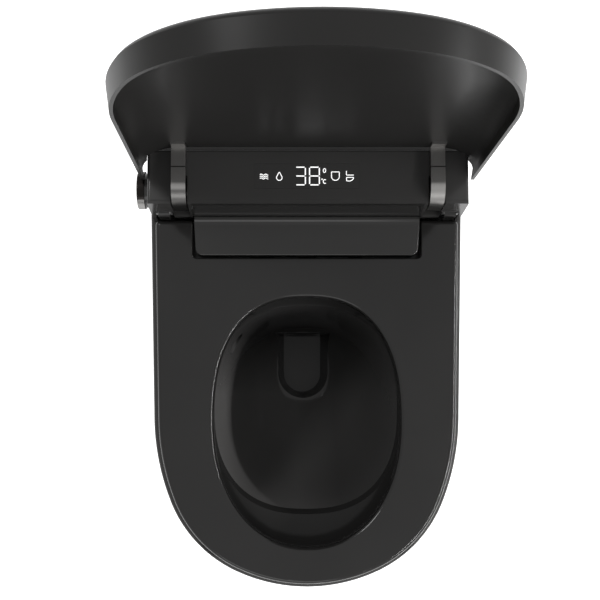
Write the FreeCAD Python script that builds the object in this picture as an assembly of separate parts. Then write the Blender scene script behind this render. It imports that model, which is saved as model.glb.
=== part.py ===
import FreeCAD, Part
import math
import os

# Smart toilet with heated seat. Millimetres, +Z up, the front of the bowl towards -Y.
# The origin is the centre of the waste outlet in the floor.

V = FreeCAD.Vector

# ---- driving dimensions -------------------------------------------------------------
rim_front = -386.0          # front of the ceramic rim
rim_half = 190.0            # half width of the rim where its sides turn into the front
rim_radii = (291.0, 158.6)  # first and second radius of the front outline
rim_turns = (22.1, 65.1)    # degrees turned at the end of each of them
side_slope = 0.024          # the sides widen this much per mm towards the back
widen_end = 76.0            # the sides run parallel behind this line
body_rear = 294.0           # flat back of the pan
rear_corner = 24.0          # corner radius at the back, seen from above
rim_height = 383.0          # rim above the floor
wall = 11.0                 # thickness of the fired ceramic
rim_deck = 22.0             # thickness of the rim and the deck
rim_round = 7.0             # rounding of the rim's outer top edge

base_inset = 62.0           # how far the foot stands in from the rim
base_setback = 62.0         # how much further the foot stands back at the front
foot_height = 34.0          # straight part of the foot above the floor

mouth = (133.0, -344.0, -20.0)      # bowl under the rim: half width, front, back
ledge = (120.0, -301.0, -33.0)      # the bowl inside its ledge
ledge_depth = 34.0          # depth of the ledge below the rim
bowl_middle = (104.0, -272.0, -41.0)
bowl_low = (84.0, -240.0, -46.0)
bowl_end = (37.0, -158.0, -61.0)
fullness = 2.45             # 2 is an ellipse, more is fuller in its corners
sump_half = 27.0            # half width of the U-shaped sump at its floor
sump_draft = 0.15           # its sides open out by this much per mm of height
sump_front = -147.0
sump_rear = -62.0
sump_floor = 118.0          # height of the sump's floor
bowl_floor = 176.0          # where the bowl's slope meets the sump
trap_bore = 26.0            # radius of the passage
trap_back = 112.0           # the passage falls behind the weir at this place
trap_low = 112.0            # and turns back to the outlet at this height
trap_bend = 38.0            # bend radius of its middle line
trap_wall = 8.0
weir_height = 240.0         # centre of the passage at its highest place
outlet_height = 26.0        # the ceramic outlet ends this far above the floor
pipe_radius = 45.0          # drain pipe that the sleeve takes
sleeve_wall = 12.0
sleeve_height = 42.0
pocket_half = 70.0          # recess of the deck for the nozzle and the warm air duct
pocket_floor = rim_height - 45.0
pocket_rear = 92.0
well_half = 122.0           # opening of the deck over the flush tank
well_front = 160.0
well_rear = 279.0
jet_place = (-92.0, rim_height - 83.0)  # X and Z of the flush jet behind the bowl
jet_bore = 9.0
jet_front = -95.0           # the jet's boss in the bowl wall
jet_rear = 12.0
service_height = rim_height - 53.0  # water inlet and cable gland in the back wall
service_side = 150.0

seat_foot = 6.0             # height of the rubber feet under the seat
seat_thick = 21.0
seat_top = rim_height + seat_foot + seat_thick  # the seat's upper face
seat_inset = 8.3            # the ring stands in from the rim
seat_rear = 65.5
open_half = 114.2           # opening of the ring
open_front = -334.0
open_rear = -30.0
open_round = 5.0            # rounding of the opening's upper edge
open_fullness = 2.15        # its front half is rounder than its rear half
cut_half = 141.3            # notch of the ring around the hood
cut_front = 17.8
shell_wall = 2.8            # thickness of moulded covers

console_front = 76.3        # front edge of the console's top
console_foot = 67.0         # front edge of the console at its foot
console_rear = 141.4
console_half = 191.0
console_top = rim_height + 85.0
console_corner = 5.0        # its upright corners at the back
step_width = 4.0            # the fine step along the console's front edge
step_depth = 2.0

deck_top = rim_height + 47.0  # rear cover
deck_gap = 1.2              # gap between the rear cover and the console

lid_axis = (94.6, rim_height + 52.3)  # Y and Z of the lid's hinge line
lid_reach = 487.2           # hinge line to the lid's front end
lid_half = 195.3
lid_radii = (287.7, 165.9)
lid_turns = (22.8, 71.3)
lid_slope = 0.0171
lid_relief = 34.0           # the lid's faces start here, clear of the console as it swings
lid_start = 17.0            # the lid begins this far from its hinge line
lid_lip = 12.4              # hinge line to the plane of the lip
lid_band = 25.0             # height of the lid's side band above the lip
lid_crown = 52.0            # hinge line to the outer face in its middle
lid_skin = 3.8
lid_wall = 3.7
lid_draft = 3.4             # the band leans out by this much from the lip up
crown_run = 52.0            # width over which the outer face rounds off into the band
lid_lean = 1.5              # degrees behind the vertical, as it stands open

arm_centre = 153.0          # hooked lid arms
arm_width = 17.0
arm_front = 21.5            # hinge line to the front of the hook
arm_top = 44.5              # hinge line to the top of the hook
arm_thick = 9.5
arm_round = 26.0
arm_hub = 10.0
slot_wall = 2.0
slot_gap = 1.5              # clearance between the arm and its slot, each side

seat_axis = (74.5, rim_height + 37.0)  # Y and Z of the seat's hinge line
knuckle_centre = 175.0
knuckle_width = 14.0
knuckle_hub = 7.5
shaft_radius = 4.0
running = 0.05              # radial clearance of a shaft in its bore

hood_half_front = 137.0     # cover over the nozzle
hood_half_rear = 140.0
hood_front = 21.3
hood_top = seat_top + 1.0
hood_corner = 9.0
riser_thick = 2.0           # the hood's upright part in front of the console
riser_foot = 9.0            # radius of the curve at its foot

knob_centre = (99.5, rim_height + 41.0)
knob_radius = 23.0
knob_width = 9.0
knob_stand_off = 6.5        # space behind the knob for its collar and its travel
knob_stem = 4.0
knob_travel = 1.5
collar_radius = 21.0        # black collar between the knob and the console

window = (-64.0, 61.0, 93.6, 123.6)  # display window: X and Y limits
window_thick = 1.8

nozzle_tilt = 22.0          # degrees below the horizontal
nozzle_x = -25.0
nozzle_tip = (-14.0, rim_height - 21.4)  # Y and Z of the wand's tip at rest
wand_radius = 8.0
wand_length = 140.0
tip_length = 22.0
guide_length = 72.0
guide_half = 15.0
motor_at = 62.0

duct_half = 20.0            # warm air duct
duct_x = 32.0
duct_wall = 2.0
flap_thick = 1.6
duct_front = -12.0
outlet_low = rim_height - 31.0  # air outlet over the bowl
outlet_high = outlet_low + 24.0
air_low = rim_height + 9.0  # level run of the duct under the console
air_high = air_low + 13.0
scroll_centre = (114.0, rim_height + 31.0)
scroll_radius = 24.0
wheel_radius = 19.0

base_thick = 5.0            # base plate of the seat unit
board_height = console_top - 26.0
tank_half = 116.0
tank_front = 163.0
tank_rear = 276.0
tank_floor = 200.0
tank_wall = 3.0

fit_gap = 0.3               # gap between neighbouring pieces that do not touch
damper_inner = 101.0        # lid dampers begin this far from the middle
damper_radius = 12.0
motor_radius = 7.0
blade_count = 16
blower_mouth = scroll_centre[0] - scroll_radius
board_place = (-48.0, 70.0, 93.0, 137.0)

service_bore = 11.5         # holes in the back wall
inlet_radius = 10.4         # threaded end of the water inlet
hose_radius = 7.0
union_y = 166.0
valve_place = (70.0, 220.0)
valve_radius = 12.0
pump_front = 84.0
pump_radius = 28.0
filter_front = 90.0         # deodoriser's filter drawer
filter_rear = 112.0
filter_low = rim_height + 8.0
filter_high = filter_low + 15.0
filter_inner = 100.0
fixing_bolt = 4.0           # bolts that hold the seat unit down
fixing_side = 110.0
fixing_y = 78.0
bracket_y = 60.0            # floor brackets inside the skirt
bracket_screw = 18.0
bracket_hole_x = 100.0
bracket_hole = 5.0
screw_radius = 3.0


# ---- small helpers ------------------------------------------------------------------
def box(x0, x1, y0, y1, z0, z1):
    return Part.makeBox(x1 - x0, y1 - y0, z1 - z0, V(x0, y0, z0))


def rod(radius, start, end):
    axis = V(*end) - V(*start)
    return Part.makeCylinder(radius, axis.Length, V(*start), axis)


def tube(outer, inner, start, end):
    return rod(outer, start, end).cut(rod(inner, start, end))


def mirrored(shape):
    return shape.mirror(V(0, 0, 0), V(1, 0, 0))


def pair(shape):
    return Part.makeCompound([shape, mirrored(shape)])


def fused(shapes):
    whole = shapes[0].multiFuse(shapes[1:]) if len(shapes) > 1 else shapes[0]
    return whole.removeSplitter()


def rounded_plate(x0, x1, y0, y1, z0, z1, radius):
    plate = box(x0, x1, y0, y1, z0, z1)
    upright = [e for e in plate.Edges if abs(e.tangentAt(e.FirstParameter).z) > 0.99]
    return plate.makeFillet(radius, upright)


def prism_yz(points, x0, x1):
    wire = Part.makePolygon([V(x0, y, z) for y, z in points] + [V(x0, *points[0])])
    return Part.Face(wire).extrude(V(x1 - x0, 0, 0))


def keep(shape, name):
    solids = shape.Solids
    out = solids[0] if len(solids) == 1 else Part.makeCompound(solids)
    out.exportStep("parts/%s.step" % name)
    boxes = out.BoundBox
    print("%-22s solids %2d valid %s vol %10.0f  X %7.1f %7.1f  Y %7.1f %7.1f  Z %7.1f %7.1f" % (
        name, len(solids), out.isValid(), out.Volume,
        boxes.XMin, boxes.XMax, boxes.YMin, boxes.YMax, boxes.ZMin, boxes.ZMax))
    return out


# ---- outlines -----------------------------------------------------------------------
def front_arcs(half, radii, turns, slope, front, inset):
    """Arcs of the right half of a D-shaped outline, from its straight side to the front.

    Each is (centre x, centre y, radius, first angle, last angle), the angles measured
    from +X towards -Y. The third radius follows from the half width."""
    r1, r2 = radii
    a0 = math.atan(slope)
    a1, a2 = (math.radians(turn) for turn in turns)
    r3 = r2 + (half - r1 * math.cos(a0) + (r1 - r2) * math.cos(a1)) / math.cos(a2)
    c3 = (0.0, front + r3)
    c2 = (c3[0] + (r3 - r2) * math.cos(a2), c3[1] - (r3 - r2) * math.sin(a2))
    c1 = (c2[0] + (r2 - r1) * math.cos(a1), c2[1] - (r2 - r1) * math.sin(a1))
    rows = ((c1, r1, a0, a1), (c2, r2, a1, a2), (c3, r3, a2, math.pi / 2))
    return [(c[0], c[1], r - inset, lo, hi) for c, r, lo, hi in rows]


def on_arc(arc, angle, z):
    return V(arc[0] + arc[2] * math.cos(angle), arc[1] - arc[2] * math.sin(angle), z)


def d_wire(arcs, slope, widen_to, rear, corner, z):
    """Closed outline: flat back with rounded corners, sides, and the arcs of the front."""
    start = on_arc(arcs[0], arcs[0][3], z)
    reach = min(widen_to, rear - corner - 1.0) - start.y
    shoulder = V(start.x + slope * reach, start.y + reach, z)
    right = []
    for arc in arcs:
        middle = on_arc(arc, (arc[3] + arc[4]) / 2, z)
        right.append(Part.Arc(on_arc(arc, arc[3], z), middle, on_arc(arc, arc[4], z)).toShape())
    side = [Part.LineSegment(shoulder, start).toShape()]
    top = V(shoulder.x, rear - corner, z)
    side.insert(0, Part.LineSegment(top, shoulder).toShape())
    turn = corner * (1 - math.sqrt(0.5))
    bend = V(shoulder.x - turn, rear - turn, z)
    end = V(shoulder.x - corner, rear, z)
    side.insert(0, Part.Arc(end, bend, top).toShape())
    half = side + right
    other = [mirrored(edge) for edge in reversed(half)]
    back = Part.LineSegment(V(-end.x, rear, z), end).toShape()
    return Part.Wire(Part.__sortEdges__([back] + half + other))


def rim_wire(z, inset, setback=0.0, rear=None):
    arcs = front_arcs(rim_half, rim_radii, rim_turns, side_slope, rim_front + setback, inset)
    corner = max(rear_corner - inset, 6.0)
    return d_wire(arcs, side_slope, widen_end, (body_rear if rear is None else rear), corner, z)


def oval_points(half, front, rear, z, powers, count):
    """Points of a full oval between front and rear, from a power law for each half."""
    middle, reach = (front + rear) / 2, (rear - front) / 2
    points = []
    for step in range(count):
        turn = 2 * math.pi * step / count
        c, s = math.cos(turn), math.sin(turn)
        power = powers[0] if s < 0 else powers[1]
        x = half * math.copysign(abs(c) ** (2 / power), c)
        y = middle + reach * math.copysign(abs(s) ** (2 / power), s)
        points.append(V(x, y, z))
    return points


def oval_wire(half, front, rear, z, powers=(fullness, fullness), count=32):
    curve = Part.BSplineCurve()
    curve.interpolate(oval_points(half, front, rear, z, powers, count), PeriodicFlag=True)
    return Part.Wire(curve.toShape())


def prism(wire, height):
    return Part.Face(wire).extrude(V(0, 0, height))


# ---- the ceramic pan ----------------------------------------------------------------
def skirt(inset, top, bottom):
    """Body of the pan, smooth from the rim to the foot."""
    levels = ((rim_height, 0.0, 0.0), (rim_height - 60.0, 1.5, 1.0), (rim_height / 2, 26.0, 20.0),
              (foot_height, base_inset, base_setback), (bottom, base_inset, base_setback))
    wires = [rim_wire(min(z, top) if z == rim_height else z, inset + step, back)
             for z, step, back in levels]
    return Part.makeLoft(wires, True, False)


def bowl_shape(grow, top):
    """Inside of the bowl below its ledge, or its outside if it is grown by the wall."""
    low = bowl_floor - grow
    rows = ((ledge, top), (bowl_middle, (rim_height - ledge_depth) * 0.62 + low * 0.38),
            (bowl_low, (rim_height - ledge_depth) * 0.3 + low * 0.7), (bowl_end, low))
    wires = [oval_wire(half + grow, front - grow, rear + grow, z) for (half, front, rear), z in rows]
    return Part.makeLoft(wires, True, False)


def sump_shape(grow, low, high):
    """U-shaped sump: round in front, flat at its back, opening out towards the bowl."""
    centre, rear = sump_front + sump_half, sump_rear + grow
    wires = []
    for z in (low, high):
        half = sump_half + grow + sump_draft * (z - sump_floor)
        right, left = V(half, centre, z), V(-half, centre, z)
        round_front = Part.Arc(right, V(0, centre - half, z), left).toShape()
        corners = [left, V(-half, rear, z), V(half, rear, z), right]
        straight = [Part.makeLine(first, last) for first, last in zip(corners, corners[1:])]
        wires.append(Part.Wire([round_front] + straight))
    return Part.makeLoft(wires, True, True)


def bent_path(points, bend):
    """Wire in the YZ plane through the points, each corner turned with the bend radius."""
    path = [V(0, y, z) for y, z in points]
    edges, start = [], path[0]
    for before, corner, after in zip(path[:-2], path[1:-1], path[2:]):
        back = (before - corner).normalize()
        ahead = (after - corner).normalize()
        half_turn = (math.pi - back.getAngle(ahead)) / 2
        reach = bend * math.tan(half_turn)
        first, last = corner + back * reach, corner + ahead * reach
        middle_way = (back + ahead).normalize()
        middle = corner + middle_way * (bend / math.cos(half_turn) - bend)
        edges += [Part.makeLine(start, first), Part.Arc(first, middle, last).toShape()]
        start = last
    edges.append(Part.makeLine(start, path[-1]))
    return Part.Wire(edges)


def trap_shape(radius, first, last):
    """Passage from the sump over the weir to the outlet."""
    low = sump_floor + trap_bore + 1.5
    rest = [(-22.0, low), (52.0, weir_height), (trap_back, weir_height), (trap_back, trap_low),
            (0.0, trap_low - trap_bend)]
    wire = bent_path([(first, low)] + rest + [(0.0, last)], trap_bend)
    ring_wire = Part.Wire(Part.makeCircle(radius, V(0, first, low), V(0, 1, 0)))
    return wire.makePipeShell([ring_wire], True, False)


def bowl_body():
    """Bowl and sump below the ledge, solid to their outer faces."""
    x_jet, z_jet = jet_place
    top = rim_height - ledge_depth - wall
    outer = bowl_shape(wall, rim_height - ledge_depth - 1).common(box(-400, 400, -500, 500, 0, top))
    boss = rod(jet_bore + 6, (x_jet, jet_front, z_jet), (x_jet, jet_rear, z_jet))
    return outer.multiFuse([sump_shape(wall, sump_floor - wall, bowl_floor + 30), boss])


def make_bowl():
    x_jet, z_jet = jet_place
    body = bowl_body().cut(bowl_shape(0.0, rim_height - ledge_depth))
    body = body.cut(sump_shape(0.0, sump_floor, bowl_floor + 60))
    body = body.cut(rod(jet_bore, (x_jet, jet_front - 1, z_jet), (x_jet, jet_rear + 1, z_jet)))
    return body.cut(trap_shape(trap_bore, sump_rear - trap_bore, 20.0))


def make_trap():
    body = trap_shape(trap_bore + trap_wall, sump_rear, outlet_height).cut(bowl_body())
    return body.cut(trap_shape(trap_bore, sump_rear - trap_bore, 20.0))


def make_pan():
    body = skirt(0.0, rim_height, 0.0)
    top_edges = [e for e in body.Edges if e.BoundBox.ZMin > rim_height - 0.01]
    body = body.makeFillet(rim_round, top_edges)
    hollow = skirt(wall, rim_height, -1.0).common(box(-400, 400, -500, 500, -2, rim_height - rim_deck))
    back_wall = box(-400, 400, body_rear - wall, body_rear + 1, -2, rim_height)
    body = body.cut(hollow.cut(back_wall))
    ledge_height = rim_height - ledge_depth
    under = rim_height - rim_deck / 2
    mouth_shell = prism(oval_wire(mouth[0] + wall, mouth[1] - wall, mouth[2] + wall, ledge_height - wall),
                        under - ledge_height + wall)
    deck_low = rim_height - rim_deck
    pocket_block = box(-pocket_half - wall, pocket_half + wall, mouth[2] - 30.0, pocket_rear + wall,
                       pocket_floor - wall, deck_low + 1)
    body = body.multiFuse([mouth_shell, pocket_block]).cut(bowl_body())
    bores = [prism(oval_wire(*mouth, ledge_height), ledge_depth + 10), bowl_shape(0.0, ledge_height + 0.5),
             box(-pocket_half, pocket_half, mouth[2] - 28.0, pocket_rear, pocket_floor, rim_height + 1),
             rounded_plate(-well_half, well_half, well_front, well_rear, deck_low - 5, rim_height + 5, 12.0)]
    bores.append(rod(hose_radius + 1.0, (service_side, union_y, deck_low - 1),
                     (service_side, union_y, rim_height + 1)))
    for side in (-1, 1):
        bores.append(rod(service_bore, (side * service_side, body_rear - wall - 5, service_height),
                         (side * service_side, body_rear + 1, service_height)))
        bores.append(rod(fixing_bolt + 1.0, (side * fixing_side, fixing_y, deck_low - 1),
                         (side * fixing_side, fixing_y, rim_height + 1)))
        bores.append(rod(screw_radius + 0.5, (side * 80, bracket_y, bracket_screw),
                         (side * 250, bracket_y, bracket_screw)))
    return body.cut(fused(bores[:1]).multiFuse(bores[1:]))


def side_x(y, inset):
    """Outer half width of the pan's outline at y."""
    first = front_arcs(rim_half, rim_radii, rim_turns, side_slope, rim_front, inset)[0]
    joint = on_arc(first, first[3], 0)
    return joint.x + side_slope * (min(y, widen_end) - joint.y)


# ---- floor and services -------------------------------------------------------------
def make_outlet_sleeve():
    grip = trap_bore + trap_wall
    outer = pipe_radius + sleeve_wall
    lower = tube(outer, pipe_radius, (0, 0, 0), (0, 0, outlet_height))
    upper = tube(outer, grip + fit_gap, (0, 0, outlet_height), (0, 0, sleeve_height))
    return lower.fuse(upper).removeSplitter()


def make_floor_brackets():
    face = side_x(bracket_y, base_inset + wall + base_setback * side_slope) - fit_gap - 1.5
    upright = box(face - 4, face, bracket_y - 15, bracket_y + 15, 0, 45)
    foot = box(face - 40, face, bracket_y - 15, bracket_y + 15, 0, 4)
    hole = rod(bracket_hole, (bracket_hole_x, bracket_y, -1), (bracket_hole_x, bracket_y, 5))
    screw = rod(screw_radius + 0.02, (face - 10, bracket_y, bracket_screw), (face + 1, bracket_y, bracket_screw))
    return pair(upright.fuse(foot).cut(hole).cut(screw).removeSplitter())


def make_side_screws():
    outside = side_x(bracket_y, base_inset)
    shank = rod(screw_radius, (outside - 26, bracket_y, bracket_screw), (outside + 1.5, bracket_y, bracket_screw))
    head = rod(screw_radius + 3, (outside + 1.5, bracket_y, bracket_screw), (outside + 4.5, bracket_y, bracket_screw))
    return pair(shank.fuse(head))


def make_side_caps():
    outside = side_x(bracket_y, base_inset)
    cap = rod(11.0, (outside + 1.2, bracket_y, bracket_screw), (outside + 7.0, bracket_y, bracket_screw))
    room = rod(8.5, (outside, bracket_y, bracket_screw), (outside + 5.0, bracket_y, bracket_screw))
    return pair(cap.cut(room))


def make_water_inlet():
    x, z = service_side, service_height
    inside = body_rear - wall
    body = rod(inlet_radius, (x, inside - 13, z), (x, body_rear + 14, z))
    collar = rod(16.0, (x, body_rear, z), (x, body_rear + 3, z))
    nut = rod(15.0, (x, inside - 5, z), (x, inside, z))
    return fused([body, collar, nut]).cut(rod(6.0, (x, inside - 14, z), (x, body_rear + 15, z)))


def make_inlet_valve():
    x, z = service_side, service_height
    back = body_rear - wall - 13
    body = rounded_plate(x - 18, x + 18, back - 34, back, z - 16, z + 16, 5.0)
    coil = rod(11.0, (x, back - 17, z + 16), (x, back - 17, z + 24))
    return body.fuse(coil)


def make_inlet_union():
    """Union on the deck over the hole that the supply hose comes up through."""
    x, y = service_side, union_y
    nut = rod(15.0, (x, y, rim_height), (x, y, rim_height + 16))
    return nut.cut(rod(5.0, (x, y, rim_height - 1), (x, y, rim_height + 17)))


def make_supply_hose():
    x, z = service_side, service_height
    front = body_rear - wall - 13 - 34
    bend = 22.0
    corner_y = union_y
    start, before = V(x, front, z), V(x, corner_y + bend, z)
    middle = V(x, corner_y + bend * (1 - math.sin(math.pi / 4)), z + bend * (1 - math.cos(math.pi / 4)))
    after, end = V(x, corner_y, z + bend), V(x, corner_y, rim_height)
    edges = [Part.LineSegment(start, before).toShape(), Part.Arc(before, middle, after).toShape(),
             Part.LineSegment(after, end).toShape()]
    path = Part.Wire(edges)
    circle = Part.Wire(Part.makeCircle(hose_radius, start, V(0, 1, 0)))
    return path.makePipeShell([circle], True, False)


def make_power_gland():
    x, z = -service_side, service_height
    inside = body_rear - wall
    body = rod(service_bore - fit_gap, (x, inside - 5, z), (x, body_rear, z))
    dome = rod(15.0, (x, body_rear, z), (x, body_rear + 12, z))
    dome = dome.makeFillet(4.0, [e for e in dome.Edges if e.BoundBox.YMin > body_rear + 11])
    nut = rod(15.0, (x, inside - 5, z), (x, inside, z))
    return fused([body, dome, nut]).cut(rod(4.5, (x, inside - 6, z), (x, body_rear + 13, z)))


# ---- flush tank and pump ------------------------------------------------------------
def make_tank():
    top = rim_height + 3.0
    body = rounded_plate(-tank_half, tank_half, tank_front, tank_rear, tank_floor, top, 14.0)
    flange = rounded_plate(-well_half - 7, well_half + 7, well_front - 5, well_rear + 5, rim_height, top, 14.0)
    room = rounded_plate(-tank_half + tank_wall, tank_half - tank_wall, tank_front + tank_wall,
                         tank_rear - tank_wall, tank_floor + tank_wall, top + 1, 11.0)
    x, z = jet_place
    port = rod(jet_bore - 2, (x, tank_front - 1, z), (x, tank_front + tank_wall + 1, z))
    return body.fuse(flange).cut(room).cut(port).removeSplitter()


def make_tank_lid():
    low = rim_height + 3.0
    return rounded_plate(-well_half - 7, well_half + 7, well_front - 5, well_rear + 5, low, low + 4, 14.0)


def make_fill_valve():
    x, y = valve_place
    top = rim_height + 3.0
    stem = rod(valve_radius, (x, y, tank_floor + tank_wall), (x, y, top))
    foot = rod(valve_radius + 8, (x, y, tank_floor + tank_wall), (x, y, tank_floor + tank_wall + 6))
    return stem.fuse(foot)


def make_float_cup():
    x, y = valve_place
    low = tank_floor + tank_wall + 50.0
    cup = tube(valve_radius + 15, valve_radius + 0.5, (x, y, low), (x, y, low + 38))
    room = tube(valve_radius + 13, valve_radius + 2.5, (x, y, low - 1), (x, y, low + 36))
    return cup.cut(room)


def make_pump_body():
    x, z = jet_place
    body = rod(pump_radius, (x, pump_front, z), (x, pump_front + 28, z))
    suction = rod(jet_bore, (x, pump_front + 28, z), (x, tank_front, z))
    hanger = box(x - 7, x + 7, pump_front + 6, pump_front + 22, z, rim_height - rim_deck)
    return fused([body, suction, hanger])


def make_pump_motor():
    x, z = jet_place
    y = pump_front + 14
    can = rod(20.0, (x, y, z - pump_radius - 44), (x, y, z - pump_radius - 2))
    neck = rod(12.0, (x, y, z - pump_radius - 2), (x, y, z - pump_radius))
    return can.fuse(neck)


def make_jet_hose():
    x, z = jet_place
    return tube(jet_bore - fit_gap, jet_bore - 2.5, (x, jet_rear - 18, z), (x, pump_front, z))


# ---- the seat unit: base, console, covers --------------------------------------------
def make_seat_base():
    low, high = rim_height, rim_height + base_thick
    rear_part = box(-console_half + shell_wall + 1, console_half - shell_wall - 1, console_foot + 4,
                    console_rear - shell_wall - 1, low, high)
    front_part = box(-hood_half_front + 4, hood_half_front - 4, hood_front + 5, console_foot + 4, low, high)
    plate = rear_part.fuse(front_part)
    cuts = [box(nozzle_x - guide_half - 3, nozzle_x + guide_half + 3, 0, 108, low - 1, high + 1),
            box(duct_x - duct_half - 2, duct_x + duct_half + 2, 0, 88, low - 1, high + 1)]
    for side in (-1, 1):
        cuts.append(rod(fixing_bolt + 0.5, (side * fixing_side, fixing_y, low - 1),
                        (side * fixing_side, fixing_y, high + 1)))
    corner = console_corner - shell_wall
    plate = plate.multiFuse(hinge_blocks())
    y0 = console_rear - shell_wall - 1
    for side in (-1, 1):
        x0 = side * (console_half - shell_wall - 1)
        x1, y1 = x0 - side * corner, y0 - corner
        square = box(min(x0, x1), max(x0, x1), y1, y0, low - 1, high + 1)
        cuts.append(square.cut(rod(corner, (x1, y1, low - 1), (x1, y1, high + 1))))
    return plate.cut(fused(cuts[:1]).multiFuse(cuts[1:])).removeSplitter()


def hinge_blocks():
    """Bearing plates of the seat's hinge, with the shaft's bores."""
    y, z = seat_axis
    blocks = []
    for side in (-1, 1):
        for inner in (knuckle_centre - knuckle_width / 2 - 0.6 - 2.6, knuckle_centre + knuckle_width / 2 + 0.6):
            x0, x1 = sorted((side * inner, side * (inner + 2.6)))
            plate = box(x0, x1, y - 2.5, y + 9, rim_height, z).fuse(rod(9.0, (x0, y, z), (x1, y, z)))
            plate = plate.cut(box(x0 - 1, x1 + 1, y - 20, y - 3.4, rim_height, z + 20))
            blocks.append(plate.cut(rod(shaft_radius + running, (x0 - 1, y, z), (x1 + 1, y, z))))
    return blocks


def make_fixing_bolts():
    x, y, top = fixing_side, fixing_y, rim_height + base_thick
    head = rod(8.0, (x, y, top), (x, y, top + 5))
    shank = rod(fixing_bolt, (x, y, rim_height - rim_deck - 14), (x, y, top))
    nut = rod(9.0, (x, y, rim_height - rim_deck - 8), (x, y, rim_height - rim_deck))
    return pair(fused([head, shank, nut]))


def console_profile(inset):
    lean = (console_front - console_foot) / (console_top - rim_height)
    low = rim_height - (1.0 if inset else 0.0)
    top = console_top - inset
    front = console_front + inset * 1.05
    foot = front - lean * (top - low)
    return [(foot, low), (front, top), (console_rear - inset, top), (console_rear - inset, low)]


def console_block(inset):
    half = console_half - inset
    block = prism_yz(console_profile(inset), -half, half)
    back = [e for e in block.Edges if abs(e.tangentAt(e.FirstParameter).z) > 0.999
            and e.BoundBox.YMin > console_rear - inset - 1]
    return block.makeFillet(console_corner - inset, back)


def slot_box(grow, low):
    half = arm_width / 2 + slot_gap + grow
    return box(arm_centre - half, arm_centre + half, console_foot - 12, lid_axis[0] + 15 + grow,
               low, console_top + 5)


def make_console():
    shell = console_block(0.0)
    back_top = [e for e in shell.Edges if e.BoundBox.ZMin > console_top - 0.01
                and e.BoundBox.YMin > console_rear - console_corner - 1]
    shell = shell.makeFillet(4.0, back_top)
    step = box(-console_half - 1, console_half + 1, console_front - 2, console_front + step_width,
               console_top - step_depth, console_top + 1)
    shell = shell.cut(step).cut(console_block(shell_wall))
    slot_floor = lid_axis[1] - arm_front - 4.6
    walls, cuts = [], []
    for side in (1, -1):
        wall_block = slot_box(slot_wall, slot_floor - slot_wall).common(console_block(0.5))
        room = slot_box(0.0, slot_floor)
        half = knuckle_width / 2 + 1.0
        recess = box(knuckle_centre - half - 3.2, knuckle_centre + half + 3.2, console_foot - 5, seat_axis[0] + 10.5,
                     rim_height - 1, seat_axis[1] + 11)
        if side < 0:
            wall_block, room, recess = mirrored(wall_block), mirrored(room), mirrored(recess)
        walls.append(wall_block.cut(step))
        cuts += [room, recess]
    shell = shell.multiFuse(walls)
    y, z = lid_axis
    for side in (-1, 1):
        cuts.append(rod(shaft_radius + 0.4, (side * (arm_centre - 16), y, z), (side * (arm_centre + 16), y, z)))
    cuts.append(box(-hood_half_rear - 0.6, hood_half_rear + 0.6, console_foot - 10, console_front + 6,
                    rim_height - 1, hood_top + fit_gap))
    x0, x1, y0, y1 = window
    cuts.append(box(x0, x1, y0, y1, console_top - window_thick, console_top + 1))
    cuts.append(box(x0 + 4, x1 - 4, y0 + 3, y1 - 3, console_top - 5, console_top + 1))
    y, z = knob_centre
    cuts.append(rod(knob_stem + 0.3, (-console_half - 1, y, z), (-console_half + 5, y, z)))
    cuts.append(box(console_half - 5, console_half + 1, filter_front - fit_gap, filter_rear + fit_gap,
                    filter_low - fit_gap, filter_high + fit_gap))
    return shell.cut(fused(cuts[:1]).multiFuse(cuts[1:])).removeSplitter()


def make_rear_cover():
    front = console_rear + deck_gap
    inset = 2.2
    half = side_x(widen_end, inset)
    block = box(-half, half, front, body_rear - inset, rim_height, deck_top)
    back = [e for e in block.Edges if abs(e.tangentAt(e.FirstParameter).z) > 0.99 and e.BoundBox.YMin > front + 1]
    block = block.makeFillet(rear_corner - inset, back)
    room = box(-half + shell_wall, half - shell_wall, front + shell_wall, body_rear - inset - shell_wall,
               rim_height - 1, deck_top - shell_wall)
    back = [e for e in room.Edges if abs(e.tangentAt(e.FirstParameter).z) > 0.99 and e.BoundBox.YMin > front + 5]
    room = room.makeFillet(rear_corner - inset - shell_wall, back)
    rim = [e for e in block.Edges if e.BoundBox.ZMin > deck_top - 0.01]
    return block.makeFillet(2.4, rim).cut(room)


def make_hood():
    def plan(inset, low, high):
        front, rear = hood_front + inset, console_foot + 1.4 + (1 if inset else 0)
        points = [V(-hood_half_front + inset, front, low), V(hood_half_front - inset, front, low),
                  V(hood_half_rear - inset, rear, low), V(-hood_half_rear + inset, rear, low)]
        block = Part.Face(Part.makePolygon(points + points[:1])).extrude(V(0, 0, high - low))
        corners = [e for e in block.Edges if abs(e.tangentAt(e.FirstParameter).z) > 0.99
                   and e.BoundBox.YMax < front + 1]
        return block.makeFillet(hood_corner - inset, corners)
    block = plan(0.0, rim_height + fit_gap, hood_top)
    edge = [e for e in block.Edges if e.BoundBox.ZMin > hood_top - 0.01 and e.BoundBox.YMin < console_foot]
    block = block.makeFillet(2.0, edge)
    mouth_gap = box(-pocket_half + 2, pocket_half - 2, hood_front - 5, hood_front + 8, rim_height, rim_height + 9)
    shell = block.cut(plan(2.5, rim_height - 1, hood_top - 2.5)).cut(mouth_gap)
    return shell.fuse(hood_riser()).removeSplitter()


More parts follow.
